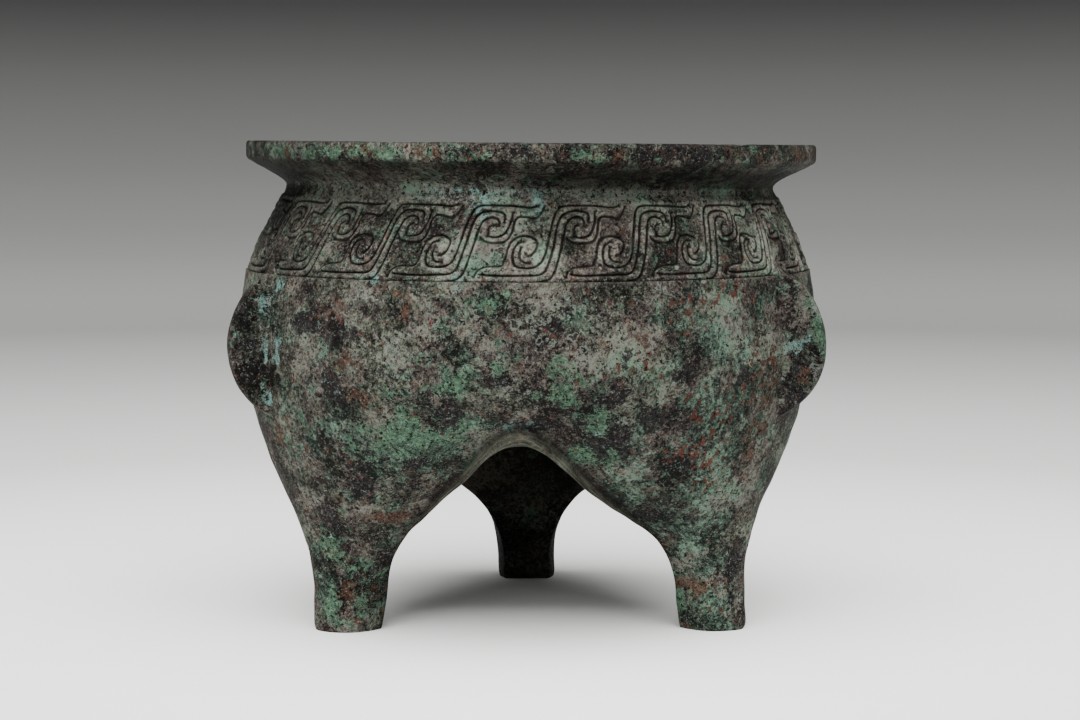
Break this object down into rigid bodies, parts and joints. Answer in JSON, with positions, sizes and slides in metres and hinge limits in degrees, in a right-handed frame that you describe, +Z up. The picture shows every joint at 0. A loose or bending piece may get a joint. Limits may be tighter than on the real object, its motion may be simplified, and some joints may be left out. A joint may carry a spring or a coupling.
{
  "type": "bronze li tripod vessel",
  "caption": "Round bronze cooking vessel cast in one piece, with a flaring rim, an engraved scroll band on the shoulder, half-round flanges and lobed hoof legs.",
  "frame": {"origin": "centre of the bounding box's bottom, on the floor between the three feet; the vessel's own axis stands 6.15 mm towards -Y of it", "axes": "+Z up through the mouth; -Y is the front, where the arch between two legs looks; one leg and its flange stand at +Y; +X to the right seen from the front"},
  "size_m": [0.1768, 0.1881, 0.1456],
  "materials": {
    "bronze": "cast bronze under a matte dark green, brown and black patina"
  },
  "bodies": {
    "root": {"li_vessel": "bronze"}
  },
  "joints": []
}
